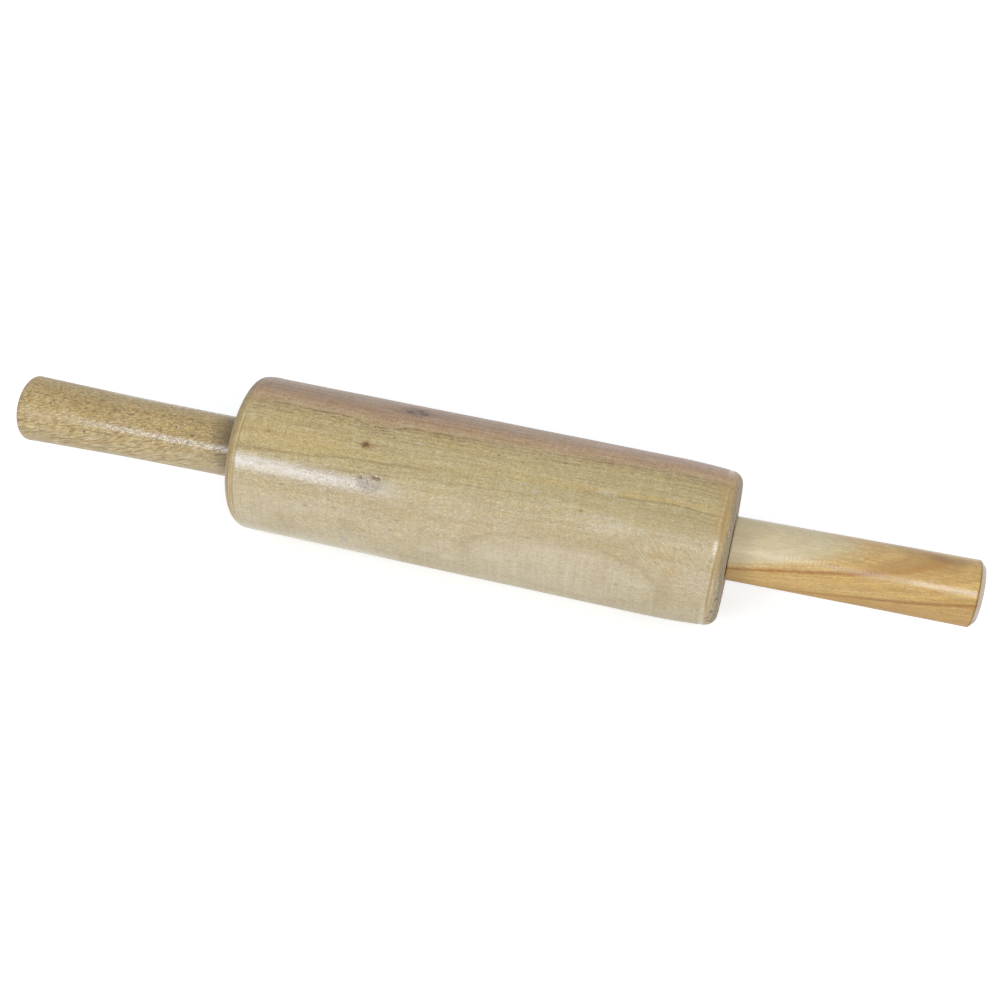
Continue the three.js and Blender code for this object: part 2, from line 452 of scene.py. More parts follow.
    def stain(self, share, colour):
        """Cover the colour mixed so far with another one, by a share from 0 to 1."""
        made = add_node(self.tree, "ShaderNodeMix", {0: share, 6: self.colour, 7: colour},
                        data_type="RGBA", clamp_factor=True)
        self.colour = made.outputs[2]

    def swing(self, noise, amount):
        """A noise stretched to swing between plus and minus an amount."""
        return self.times(self.spread(noise, *NOISE_RANGE, -1.0, 1.0), amount)

    def mottle(self, noise, amount):
        """Lighten and darken the colour as a noise goes up and down."""
        self.colour = self.mottled(self.colour, noise, amount)

    def mottled(self, colour, noise, amount):
        """The same for any colour. Dark wood is browner than pale wood."""
        swing = self.swing(noise, amount)
        return self.tinted(colour, *[self.total(self.times(swing, share), 1.0) for share in DARK_IS_BROWN])

    def warm(self, noise, amount):
        """Make the colour yellower and greyer as a noise goes up and down."""
        swing = self.swing(noise, amount)
        self.tint(self.total(self.times(swing, 0.3), 1.0), 1.0, self.minus(1.0, swing))

    def tint(self, red, green, blue):
        self.colour = self.tinted(self.colour, red, green, blue)

    def tinted(self, colour, red, green, blue):
        inputs = {0: colour, 1: self.vector(red, green, blue)}
        return add_node(self.tree, "ShaderNodeVectorMath", inputs, operation="MULTIPLY").outputs[0]

    def finish(self, roughness, height, depth):
        """Feed the shader. Depth is the height of the relief in millimetres."""
        feed(self.tree, self.shader.inputs["Base Color"], self.colour)
        feed(self.tree, self.shader.inputs["Roughness"], roughness)
        relief = {"Height": height, "Distance": depth * MM, "Strength": 1.0}
        bump = add_node(self.tree, "ShaderNodeBump", relief)
        feed(self.tree, self.shader.inputs["Normal"], bump.outputs[0])
        return self.material

    def varnish(self, roughness, height, depth):
        """Feed the shader as for wood under a clear varnish."""
        self.shader.inputs["IOR"].default_value = VARNISH_IOR
        return self.finish(roughness, height, depth)

    def report(self, step):
        print(f"{self.material.name}, {step}: {len(self.tree.nodes)} nodes so far")


# %% [markdown]
# Years of use left their marks on the barrel: a pin knot, spots of filler, pits where the grain tore out,
# and chips along the right rim. Each mark is listed once, with its places along and around the barrel. The
# list is used twice: it dents the mesh, so the wear is real shape, and it colours the wood in the shader.

# %% Marks on the barrel
Mark = namedtuple("Mark", "places half_length half_width depth colour strength")
BARREL_MM = round(1000 * BARREL_RADIUS, 3)
FILLER_PLACES = (
    (-54.0, 83.0), (37.0, 54.0), (28.3, 49.2), (77.0, 50.4), (29.7, 62.4), (25.2, 66.6), (65.2, 68.8),
)
PIT_PLACES = (
    (50.3, 56.0), (11.0, 84.2), (21.7, 82.3), (27.0, 88.0), (39.4, 89.5), (-63.5, 88.5), (-34.8, 81.2),
    (-89.0, 66.5),
)
BRUISE_PLACES = (
    (-29.0, 13.0), (-26.3, 22.0), (30.7, 29.7), (-54.3, 21.7), (70.0, 7.5), (-79.0, 31.0), (-67.5, 18.5),
    (-29.5, -1.0),
)
PALE_PLACES = ((-12.0, 2.0), (-3.0, -1.5), (17.0, 9.0), (79.0, 12.0))
CHIP_PLACES = ((110.0, -20.0), (109.4, -13.0), (110.6, -5.0), (111.8, 8.0), (112.2, 60.0), (112.0, 75.0))
SMUDGE_PLACES = ((-33.5, 111.5), (-29.5, 116.0), (-27.0, 112.0))
SLIT_PLACES = ((-38.6, 49.4), (-36.7, 48.6), (-44.6, 47.6))
BARREL_MARKS = {
    "knot_halo": Mark(((-45.0, 71.0),), 4.6, 2.8, 0.0, paint(166, 132, 76), 0.7),
    "pin_knot": Mark(((-45.7, 71.2),), 2.4, 2.1, 0.12, paint(108, 72, 30), 0.95),
    "smudge": Mark(((-31.0, 114.0),), 11.0, 7.5, 0.0, paint(118, 84, 70), 0.65),
    "smudge_core": Mark(SMUDGE_PLACES, 2.9, 1.9, 0.15, paint(82, 56, 50), 0.85),
    "torn_slits": Mark(SLIT_PLACES, 1.5, 1.2, 0.35, paint(122, 86, 42), 0.9),
    "filler": Mark(FILLER_PLACES, 1.6, 0.8, 0.05, paint(186, 184, 178), 0.5),
    "old_pits": Mark(PIT_PLACES, 1.2, 0.7, 0.25, paint(118, 104, 82), 0.7),
    "pale_streak": Mark(((-23.5, 80.5), (-71.5, 74.0)), 2.6, 0.8, 0.0, paint(212, 202, 178), 0.5),
    "pale_wear": Mark(PALE_PLACES, 7.0, 3.0, 0.0, paint(214, 203, 180), 0.35),
    "scratch": Mark(((-81.5, 68.0), (-10.5, 90.0)), 0.5, 4.0, 0.05, paint(134, 112, 70), 0.4),
    "bruises": Mark(BRUISE_PLACES, 1.5, 1.0, 0.06, paint(146, 128, 96), 0.5),
    "blue_scrape": Mark(((-51.2, -5.5), (-50.2, -9.0)), 1.2, 2.4, 0.1, paint(152, 154, 158), 0.55),
    "bright_spot": Mark(((-25.0, 10.0),), 3.0, 2.4, 0.0, paint(216, 201, 158), 0.6),
    "rim_chips": Mark(CHIP_PLACES, 0.9, 1.3, 0.5, paint(92, 78, 56), 0.75),
}
print("marks on the barrel:", sum(len(mark.places) for mark in BARREL_MARKS.values()))

# %% [markdown]
# The barrel was cut beside the heart of a small tree. Its growth rings are tubes about a line that runs
# behind the barrel's middle, so the surface shows them as long stripes on top and as a flat oval in front.
# A wave texture could draw stripes, but they would not close into that oval. So the shader measures the
# distance to the line of the heart. The tree leaned a little, which makes the stripes climb to the right,
# and they bend round the branch that left the smudge.

# %% Growth rings of the barrel
HEART_ANGLE = math.radians(187)
HEART_OFFSET = 25.0
HEART_Y = -HEART_OFFSET * math.cos(HEART_ANGLE)
HEART_Z = HEART_OFFSET * math.sin(HEART_ANGLE)
SAPWOOD_START = (46.0, 51.0)
BRANCH = Spot(-43.0, 91.0, 14.0, 11.0)
BRANCH_PULL = -1.5


def barrel_rings(wood):
    """Distance from the heart of the tree in millimetres, with the wander of real growth."""
    from_heart = wood.math("SQRT", wood.total(
        wood.math("POWER", wood.minus(wood.y, HEART_Y), 2.0),
        wood.math("POWER", wood.minus(wood.z, HEART_Z), 2.0)))
    lean = wood.times(wood.x, wood.spread(from_heart, *SAPWOOD_START, 0.018, 0.027))
    bow = wood.minus(wood.math("POWER", wood.times(wood.x, 0.01), 2.0), 1.0)
    bow = wood.times(bow, wood.spread(from_heart, *SAPWOOD_START, 1.5, 0.0))
    ruffle = wood.sway(wood.grain(9.0, 3.5, shift=7), 0.8)
    branch = wood.times(wood.spot(BRANCH), BRANCH_PULL)
    return wood.total(from_heart, lean, bow, ruffle, branch)


barrel_finish = Finish("barrel_wood", BARREL_MM)
rings = barrel_rings(barrel_finish)
barrel_finish.report("growth rings")

# %% [markdown]
# The distance to the heart gives the colour: pinkish heartwood at the back and top, olive sapwood in front.
# Dark ring lines mark where the heartwood ends, and one golden ring runs above the worn front. Real ring
# lines fade and come back, so a noise breaks them up.

# %% Colours of the rings
HEART_LINE = 42.8
GOLD_LINE = 51.9
BARREL_RING_COLOURS = (
    (10.0, paint(150, 122, 98)),
    (28.0, paint(174, 148, 125)),
    (36.0, paint(170, 141, 115)),
    (39.0, paint(179, 145, 110)),
    (41.5, paint(187, 158, 119)),
    (42.7, paint(185, 163, 121)),
    (43.4, paint(184, 163, 118)),
    (45.4, paint(190, 170, 122)),
    (48.0, paint(188, 170, 125)),
    (51.0, paint(190, 172, 127)),
    (52.6, paint(184, 167, 122)),
    (55.0, paint(185, 169, 127)),
    (57.0, paint(187, 171, 131)),
    (60.0, paint(190, 174, 138)),
    (62.0, paint(196, 182, 149)),
)
DARK_LINES = ((HEART_LINE, 0.5, 1.0), (HEART_LINE + 1.0, 0.4, 0.6), (45.1, 0.4, 0.5))
DARK_LINE = paint(130, 94, 48)
FAINT_LINES = (46.6, 47.6, 49.7, 54.6)
FAINT_LINE = paint(140, 112, 64)
GOLD = paint(204, 174, 108)
UNDER_GOLD = paint(144, 118, 70)


def colour_rings(wood, rings):
    wood.colour = wood.ramp(rings, BARREL_RING_COLOURS)
    along = wood.spread(wood.x, -110.0, 110.0, *NOISE_RANGE)
    heart = wood.spread(rings, 41.0, 36.0)
    wood.mottle(along, wood.times(heart, 0.16))
    streaks = wood.ring_lines(rings, 0.7, 45.0)
    wood.mottle(streaks, wood.total(0.09, wood.times(heart, 0.09)))
    broken = wood.spread(wood.grain(4.0, 1.2, shift=3, detail=3.0, roughness=0.7), 0.4, 0.6, 0.1, 1.0)
    left_fade = wood.spread(wood.x, -104.0, -96.0, 0.3, 1.0)
    right_fade = wood.spread(wood.x, -10.0, 10.0, 1.0, 0.7)
    broken = wood.times(broken, left_fade, right_fade)
    for centre, half_width, strength in DARK_LINES:
        wood.stain(wood.times(wood.band(rings, centre, half_width), broken, strength), DARK_LINE)
    faint = wood.spread(wood.grain(32.0, 4.0, shift=79), 0.4, 0.6, 0.05, 0.35)
    for centre in FAINT_LINES:
        wood.stain(wood.times(wood.band(rings, centre, 0.3), faint), FAINT_LINE)
    gold = wood.times(wood.band(rings, GOLD_LINE, 0.9), wood.spread(wood.x, 10.0, 60.0, 0.15, 0.5))
    wood.stain(gold, GOLD)
    aside = wood.spread(wood.apart(wood.x, 20.0), 25.0, 50.0, 0.15, 0.45)
    wood.stain(wood.times(wood.band(rings, GOLD_LINE + 0.9, 0.4), aside), UNDER_GOLD)


colour_rings(barrel_finish, rings)
barrel_finish.report("colours of the rings")

# %% [markdown]
# Over the rings lie the small things that make wood look like wood: long fibres, flecks of pore and ray
# about a millimetre long, and the faint lines that sandpaper left around the barrel. Each is a noise whose
# cells have a length along the fibres and a width across them. The same noises give the relief.

# %% Fibres, flecks and sanding lines
WARM_PATCH = Spot(-76.0, 72.0, 50.0, 16.0)
GILT_PATCH = Spot(-78.0, 66.0, 36.0, 7.5)
CRUMB_PATCH = Spot(20.0, 90.0, 34.0, 5.0)
PORE = paint(114, 88, 50)
GILT = paint(198, 163, 94)
CRUMB = paint(204, 190, 152)


def barrel_grain(wood, rings):
    """Add the grain, and give its relief and its specks."""
    calm = wood.spread(wood.x, -60.0, 0.0, 1.0, 0.84)
    near_heart = wood.spread(wood.apart(rings, 44.3), 0.8, 2.6, 1.0, 0.0)
    heart = wood.spread(rings, 43.0, 41.0, 0.0, 0.15)
    fibres = wood.grain(22.0, 0.7, shift=3, detail=4.0, roughness=0.65)
    wood.mottle(fibres, wood.total(wood.times(calm, 0.09), heart))
    wood.mottle(wood.grain(30.0, 2.2, shift=61), 0.05)
    flecks = wood.grain(2.0, 0.8, shift=11, detail=3.0, roughness=0.7)
    wood.mottle(flecks, wood.times(calm, wood.total(0.17, wood.times(near_heart, 0.13))))
    specks = wood.grain(0.8, 0.6, shift=43, roughness=0.7)
    wood.mottle(specks, wood.times(calm, 0.27))
    sanding = wood.grain(2.4, 40.0, shift=5, detail=3.0, roughness=0.7)
    wood.mottle(sanding, 0.06)
    wood.warm(wood.grain(8.0, 2.0, shift=37, roughness=0.6), 0.08)
    wood.warm(NOISE_RANGE[1], wood.times(wood.spot(WARM_PATCH), 0.07))
    pores = wood.spread(wood.grain(2.2, 0.6, shift=29, detail=1.0), 0.58, 0.72)
    dark = wood.times(near_heart, wood.spread(wood.x, -10.0, 10.0, 0.55, 0.4))
    dark = wood.times(pores, wood.larger(dark, wood.total(0.28, wood.times(heart, 1.5))))
    wood.stain(wood.times(dark, 0.85), PORE)
    gilt = wood.spread(wood.grain(1.1, 0.8, shift=17, detail=1.0), 0.48, 0.6)
    wood.stain(wood.times(gilt, wood.spot(GILT_PATCH), 0.55), GILT)
    crumbs = wood.times(wood.spot(CRUMB_PATCH), wood.spread(specks, 0.5, 0.62))
    wood.stain(wood.times(crumbs, 0.5), CRUMB)
    height = wood.total(wood.times(fibres, 0.3), wood.times(flecks, 0.7), wood.times(specks, 1.1),
                        wood.times(sanding, 0.2), wood.times(dark, -0.5))
    return height, specks


relief, specks = barrel_grain(barrel_finish, rings)
barrel_finish.report("grain")

# %% [markdown]
# The varnish is worn through in front, so the wood is paler there. A pale oval with a browner edge lies in
# the middle of the wear, and a tan band above it. Fine scratches run around the barrel.

# %% The worn front
WORN_WOOD = paint(200, 186, 154)
ROSY_SHARE = 0.015
LOW_LOSS = (0.025, 0.055, 0.1)
OVAL = Spot(46.0, 9.0, 52.0, 18.0)
OVAL_WOOD = paint(208, 195, 168)
OVAL_EDGE = paint(164, 142, 104)
TAN_PATCHES = (Spot(72.0, 37.0, 70.0, 7.5), Spot(86.0, 60.0, 44.0, 6.0))
TAN = paint(174, 154, 108)
DIRT_PATCH = Spot(90.0, 9.0, 6.0, 14.0)
DIRT = paint(160, 142, 104)


def wear_front(wood):
    patches = wood.grain(26.0, 9.0, shift=19, detail=4.0, roughness=0.6)
    front = wood.times(wood.spread(wood.angle, 40.0, 14.0), wood.spread(wood.angle, -75.0, -45.0))
    wood.stain(wood.times(front, wood.spread(patches, 0.3, 0.65, 0.1, 0.7)), WORN_WOOD)
    wood.mottle(0.0, wood.times(front, wood.spread(wood.x, -30.0, 90.0, -0.04, 0.05)))
    rosy = wood.times(wood.band(wood.angle, 30.0, 38.0), ROSY_SHARE)
    less = wood.minus(1.0, rosy)
    wood.tint(wood.total(rosy, 1.0), less, less)
    low = wood.spread(wood.apart(wood.x, 28.0), 20.0, 45.0, 0.25, 1.0)
    low = wood.times(low, wood.around(18.0, 5.0))
    wood.tint(*[wood.minus(1.0, wood.times(low, loss)) for loss in LOW_LOSS])
    oval = wood.spot(OVAL, wood.sway(patches, 0.5))
    wood.stain(wood.times(wood.spread(oval, 0.0, 0.8), 0.3), OVAL_WOOD)
    edge = wood.times(wood.band(oval, 0.12, 0.12), wood.spread(patches, 0.35, 0.55, 0.05, 0.4))
    wood.stain(wood.times(edge, wood.spread(wood.angle, -5.0, 20.0, 0.2, 1.0)), OVAL_EDGE)
    tan = wood.either(TAN_PATCHES)
    wood.stain(wood.times(tan, 0.38), TAN)
    fine = wood.grain(1.8, 0.9, shift=83, detail=3.0, roughness=0.7)
    wood.mottle(fine, wood.times(wood.larger(front, tan), 0.13))
    wiped = wood.grain(1.6, 30.0, shift=89, detail=3.0, roughness=0.7)
    wood.mottle(wiped, wood.times(front, 0.08))
    wood.stain(wood.times(wood.spot(DIRT_PATCH), wood.spread(wiped, 0.35, 0.65, 0.05, 0.3)), DIRT)


wear_front(barrel_finish)
barrel_finish.report("worn front")

# %% [markdown]
# Near the right end, slanting bright strokes are a painted sheen where fibres dive under the surface, with a
# tan stain between them. Further in lie pale scuffs. A noise on slanted axes draws the strokes.

# %% Painted sheen strokes and scuffs
STROKE_LENGTHENING = 0.12
SHEEN_STROKE_PATCH = Spot(90.0, 38.0, 25.0, 12.0)
STROKE_SHEEN = paint(220, 207, 170)
STAIN_PATCHES = (Spot(86.0, 38.5, 10.0, 4.0), Spot(92.0, 25.0, 6.0, 5.0))
STAIN = paint(182, 148, 90)
SCUFF_PATCHES = (Spot(62.0, 49.0, 18.0, 6.0), Spot(59.0, 72.0, 7.0, 2.5))
SCUFF = paint(212, 202, 184)


def add_strokes(wood):
    arc = wood.times(wood.angle, math.radians(wood.radius))
    along = wood.times(wood.minus(wood.x, arc), STROKE_LENGTHENING)
    slant = wood.noise(wood.vector(along, wood.total(wood.x, arc), 0.0), detail=3.0, roughness=0.7)
    # Painted sheen: bright slanting strokes where fibres dive under the surface.
    sheen_strokes = wood.times(wood.spread(slant, 0.46, 0.66), wood.spot(SHEEN_STROKE_PATCH))
    wood.stain(wood.times(sheen_strokes, 0.55), STROKE_SHEEN)
    wood.stain(wood.times(wood.either(STAIN_PATCHES), wood.spread(slant, 0.58, 0.4, 0.0, 0.5)), STAIN)
    rubbed = wood.spread(wood.grain(2.6, 1.6, shift=67, detail=4.0, roughness=0.7), 0.42, 0.62)
    wood.stain(wood.times(wood.either(SCUFF_PATCHES), rubbed, 0.5), SCUFF)


add_strokes(barrel_finish)
barrel_finish.report("strokes and scuffs")

# %% [markdown]
# Rims were turned crisp and have gathered a yellow-brown tint, with fine lines where the chisel stopped, and
# a pale painted highlight line along the right rim's crest.
# The left one is darker towards its end, most on top, and the right one is chipped. End grain is grey and
# rough. It is marked by a point attribute that the mesh gets later.

# %% Rims and end grain
LEFT_CREASE = 1000 * barrel_low.x + 5.2
RIGHT_RIM = 1000 * barrel_high.x - 5.8
RIM_TINT = paint(178, 144, 80)
LEFT_RIM_DARKENING = paint(112, 92, 66)
AMBER = paint(188, 150, 86)
RIM_LINES_AND_CREST_GLINT = (
    (LEFT_CREASE, 0.4, paint(122, 96, 54), 0.6),
    (LEFT_CREASE - 1.0, 0.5, paint(216, 202, 160), 0.2),
    (LEFT_CREASE - 3.0, 0.5, paint(126, 100, 62), 0.5),
    # A pale painted highlight line on the right rim's crest.
    (RIGHT_RIM + 0.3, 0.6, paint(226, 218, 200), 0.35),
    (RIGHT_RIM + 1.5, 0.5, paint(150, 118, 60), 0.4),
)
BARREL_END_COLOURS = (
    (0.3, paint(90, 80, 62)),
    (0.42, paint(152, 140, 116)),
    (0.58, paint(182, 172, 150)),
    (0.7, paint(228, 225, 216)),
)


def barrel_rims(wood, rings, specks):
    """Colour the rims and ends, and give the share of end grain."""
    left_rim = wood.spread(wood.x, LEFT_CREASE + 0.2, LEFT_CREASE - 0.3)
    right_rim = wood.spread(wood.x, RIGHT_RIM - 0.3, RIGHT_RIM + 0.8)
    rims = wood.larger(left_rim, right_rim)
    turned = wood.noise(wood.vector(wood.times(wood.x, 1.6), wood.times(wood.angle, 0.02), 0.0), detail=3.0)
    wood.mottle(turned, wood.times(rims, 0.4))
    wood.stain(wood.times(rims, wood.around(100.0, 60.0, 0.1, 0.35)), RIM_TINT)
    # Darker towards the left end of the rim, most on top.
    outer = wood.spread(wood.x, LEFT_CREASE - 0.5, LEFT_CREASE - 4.8)
    wood.stain(wood.times(outer, wood.around(25.0, 75.0, 0.3, 0.6)), LEFT_RIM_DARKENING)
    amber = wood.times(wood.spread(wood.x, RIGHT_RIM - 6.0, RIGHT_RIM), wood.around(45.0, 65.0), 0.35)
    wood.stain(amber, AMBER)
    ragged = wood.times(wood.spread(specks, 0.35, 0.6, 0.3, 1.0), wood.around(100.0, 62.0, 0.1, 1.0))
    for x, half_width, line_colour, strength in RIM_LINES_AND_CREST_GLINT:
        wood.stain(wood.times(wood.band(wood.x, x, half_width), ragged, strength), line_colour)
    chipped = wood.total(wood.x, wood.sway(specks, 5.0))
    chipped = wood.spread(chipped, RIGHT_RIM + 3.0, RIGHT_RIM + 4.4)
    end = wood.larger(wood.attribute("end_grain"), chipped)
    end_colour = wood.ramp(specks, BARREL_END_COLOURS)
    end_colour = wood.mottled(end_colour, wood.ring_lines(rings, 1.1, 300.0, 6.0), 0.35)
    wood.stain(wood.times(end, 0.75), end_colour)
    return end


end = barrel_rims(barrel_finish, rings, specks)
barrel_finish.report("rims and end grain")

# %% [markdown]
# The listed marks come next, each a soft-edged spot whose outline a noise makes irregular. One larger patch
# in front is torn: it is paler than the wood around it and full of dark pits.

# %% Colour the marks
TORN_PATCH = Spot(-40.5, 45.0, 8.0, 4.6)
TORN_WOOD = paint(206, 196, 182)
TORN_PIT = paint(112, 86, 70)
MARK_WANDER = 1.1


def colour_marks(wood, specks):
    """Stain the marks into the wood, and give the share of the torn patch."""
    wander = wood.sway(wood.grain(1.3, 1.0, shift=51, roughness=0.6), MARK_WANDER)
    torn = wood.spot(TORN_PATCH, wander)
    wood.stain(wood.times(torn, 0.4), TORN_WOOD)
    wood.stain(wood.times(torn, wood.spread(specks, 0.52, 0.6), 0.9), TORN_PIT)
    skin = wood.minus(1.0, wood.attribute("end_grain"))
    for mark in BARREL_MARKS.values():
        for x, angle in mark.places:
            share = wood.spot(Spot(x, angle, mark.half_length, mark.half_width), wander)
            wood.stain(wood.times(share, skin, mark.strength), mark.colour)
    return torn


torn = colour_marks(barrel_finish, specks)
barrel_finish.report("marks")

# %% [markdown]
# On the left the varnish still shines, so the wood under it is smooth and the softbox shows as a long
# glint. Along that glint the base colour is painted a cool grey, a painted highlight tint broken by tiny
# pits. Everywhere else the gloss is gone and the relief of the grain stays. The crest of the right rim shines
# too.

# %% Varnish on the barrel
# A painted highlight colour, laid into the base along the glint.
BARREL_HIGHLIGHT_TINT = paint(172, 167, 178)
MATT_ROUGHNESS = 0.43
BARREL_RELIEF = 0.09


def varnish_barrel(wood, relief, specks, end, torn):
    varnished = wood.times(wood.spread(wood.x, -20.0, -42.0), wood.spread(torn, 0.0, 1.0, 1.0, 0.55))
    varnished = wood.times(varnished, wood.spread(wood.x, LEFT_CREASE - 1.0, LEFT_CREASE - 0.2))
    pits = wood.spread(wood.grain(1.0, 0.8, shift=71, detail=3.0, roughness=0.7), 0.48, 0.68)
    # Painted highlight: the base is cooled and greyed along the glint, less in the pits.
    highlight_tint = wood.times(varnished, wood.spread(wood.angle, 50.0, 45.0), wood.spread(wood.angle, 32.0, 43.0))
    wood.stain(wood.times(highlight_tint, wood.spread(pits, 0.0, 1.0, 0.38, 0.12)), BARREL_HIGHLIGHT_TINT)
    crest = wood.band(wood.x, RIGHT_RIM + 0.2, 2.0)
    shine = wood.larger(wood.times(varnished, wood.around(98.0, 112.0, 1.0, 0.2)), crest)
    gloss = wood.times(shine, wood.spread(pits, 0.0, 1.0, -0.3, -0.14))
    roughness = wood.total(gloss, wood.times(end, 0.25), MATT_ROUGHNESS)
    smoothed = wood.times(relief, wood.spread(shine, 0.0, 1.0, 1.0, 0.36))
    height = wood.total(smoothed, wood.times(end, specks, 2.0), wood.times(torn, specks, 2.0),
                        wood.times(pits, -0.12))
    return wood.varnish(roughness, height, BARREL_RELIEF)


BARREL_WOOD = varnish_barrel(barrel_finish, relief, specks, end, torn)
barrel_finish.report("varnish")

# %% [markdown]
# The left handle's fibres slope upwards through the piece. Where the surface runs along them, in front,
# they show as long slanting streaks. Where it cuts across them, on top, the same fibres show as short
# flecks of yellow and brown. A noise that is stretched along a tilted line gives both at once.

# %% Left handle fibres
LEFT_SLOPE = -0.0105
LEFT_MM = 14.3
LEFT_ROOT = 1000 * left_high.x
LEFT_TIP = 1000 * left_low.x
FIBRE_TILT = 20.0
LEFT_FIBRE_COLOURS = (
    (0.26, paint(104, 76, 36)),
    (0.42, paint(156, 128, 78)),
    (0.52, paint(184, 160, 109)),
    (0.62, paint(202, 180, 130)),
    (0.74, paint(218, 201, 160)),
)
LEFT_FRONT = paint(206, 188, 150)
LEFT_WORN = paint(186, 176, 150)
LEFT_CLOUDS = (
    (Spot(-177.0, 70.0, 18.0, 6.0), -0.12),
    (Spot(-151.0, 65.0, 18.0, 8.0), 0.07),
    (Spot(-152.0, 17.0, 18.0, 7.0), 0.09),
)


def left_fibres(wood):
    """Colour the handle by its fibres, and give them."""
    fibres = wood.grain(6.5, 0.65, shift=5, tilt=FIBRE_TILT, detail=4.0, roughness=0.7, distortion=0.5)
    wood.colour = wood.ramp(fibres, LEFT_FIBRE_COLOURS)
    front = wood.around(45.0, 15.0)
    wood.stain(wood.times(front, 0.16), LEFT_FRONT)
    wood.mottle(fibres, wood.times(front, 0.2))
    wood.stain(wood.times(front, wood.spread(wood.x, -150.0, -128.0), 0.25), LEFT_WORN)
    for cloud, change in LEFT_CLOUDS:
        wood.mottle(1.0, wood.times(wood.spot(cloud), change))
    return fibres


left_finish = Finish("left_handle_wood", LEFT_MM, LEFT_ROOT, LEFT_SLOPE)
left_grain = left_fibres(left_finish)
left_finish.report("fibres")

# %% [markdown]
# This handle carries more dirt: dark pores, a few reddish scrapes, and grime with painted shade in the corner
# beside the barrel. Its varnish is broken into small glossy patches, so a noise switches the gloss on and
# off.

# %% Left handle dirt, painted shade and varnish
LEFT_PORES = (
    (-170.0, 75.0), (-147.0, 38.0), (-138.2, 34.5), (-132.0, 43.0), (-182.5, 24.0), (-178.0, 91.0),
    (-139.0, 66.0), (-131.0, 55.0),
)
LEFT_SCRAPES = ((-171.0, 28.0), (-162.0, 73.0), (-195.0, 0.0))
LEFT_MARKS = (
    (LEFT_PORES, 1.1, 0.9, paint(86, 86, 78), 0.75),
    (LEFT_SCRAPES, 3.2, 0.7, paint(122, 76, 44), 0.7),
)
GRIME_AND_SHADE_ANGLE = math.radians(75)
GRIME_AND_SHADE_SLANT = 0.5
LEFT_GRIME_AND_SHADE = paint(94, 79, 52)
# A painted highlight colour for the left handle's glint.
LEFT_HIGHLIGHT_TINT = paint(168, 156, 156)
LEFT_TIP_WOOD = paint(150, 104, 78)
LEFT_END_COLOURS = ((0.3, paint(104, 78, 46)), (0.5, paint(144, 116, 76)), (0.7, paint(178, 152, 108)))
LEFT_RELIEF = 0.08


def finish_left(wood, fibres):
    stripes = wood.grain(50.0, 3.5, shift=13)
    wood.mottle(stripes, 0.08)
    wood.warm(wood.grain(9.0, 2.4, shift=37, tilt=FIBRE_TILT, detail=3.0), 0.1)
    specks = wood.grain(0.8, 0.6, shift=23, roughness=0.7)
    wood.mottle(specks, 0.18)
    wander = wood.sway(specks, 2.0)
    for places, half_length, half_width, colour, strength in LEFT_MARKS:
        for x, angle in places:
            share = wood.spot(Spot(x, angle, half_length, half_width), wander)
            wood.stain(wood.times(share, strength), colour)
    # Grime and painted shade in the corner beside the barrel, stronger towards the top.
    near_root = wood.total(wood.x, wood.times(wood.upright(GRIME_AND_SHADE_ANGLE), GRIME_AND_SHADE_SLANT), -GRIME_AND_SHADE_SLANT * LEFT_MM)
    grime_and_shade = wood.times(wood.spread(near_root, -126.0, -113.5), wood.spread(stripes, 0.3, 0.7, 0.75, 1.0))
    wood.stain(grime_and_shade, LEFT_GRIME_AND_SHADE)
    # Painted highlight: a cool tint along the glint.
    highlight_tint = wood.times(wood.band(wood.angle, 42.5, 9.0), wood.spread(wood.x, -198.0, -165.0), 0.3)
    wood.stain(highlight_tint, LEFT_HIGHLIGHT_TINT)
    wood.stain(wood.times(wood.spread(wood.x, LEFT_TIP + 2.2, LEFT_TIP + 0.6), 0.6), LEFT_TIP_WOOD)
    end = wood.attribute("end_grain")
    end_colour = wood.ramp(specks, LEFT_END_COLOURS)
    wood.stain(wood.times(end, 0.8), wood.mottled(end_colour, wood.grain(60.0, 2.0, shift=41), 0.2))
    dull = wood.spread(wood.grain(1.5, 0.9, shift=71, roughness=0.6), 0.46, 0.56)
    dull = wood.larger(dull, wood.spread(wood.x, -155.0, -195.0))
    dull = wood.larger(dull, wood.around(20.0, 0.0))
    roughness = wood.total(0.1, wood.times(dull, 0.3), wood.times(end, 0.2))
    height = wood.total(wood.times(fibres, 0.7), wood.times(specks, 0.5))
    return wood.varnish(roughness, height, LEFT_RELIEF)


LEFT_WOOD = finish_left(left_finish, left_grain)
left_finish.report("dirt and varnish")

# %% [markdown]
# The right handle was sawn at a slant through the rings, so they show as nested arches that point to the
# tip. Pale sapwood covers the top near the barrel, and orange heartwood the rest. The rings are taken as
# flat planes here, which is close enough on a slim piece.

# %% Right handle rings
RIGHT_SLOPE = 0.019
RIGHT_SHIFT = 1.15
RIGHT_MM = 14.3
RIGHT_ROOT = 1000 * right_low.x
RIGHT_TIP = 1000 * right_high.x
ARCH_ANGLE = math.radians(95)
ARCH_SLANT = 0.152
SAP_START = 3.0
SAP_SLANT = 0.062
SAPWOOD = paint(212, 196, 158)
RIGHT_RING_COLOURS = (
    (-30.0, paint(182, 140, 76)),
    (-9.0, paint(196, 156, 88)),
    (-6.0, paint(204, 167, 101)),
    (1.2, paint(204, 167, 100)),
    (4.8, paint(206, 172, 110)),
    (15.0, paint(208, 178, 122)),
)


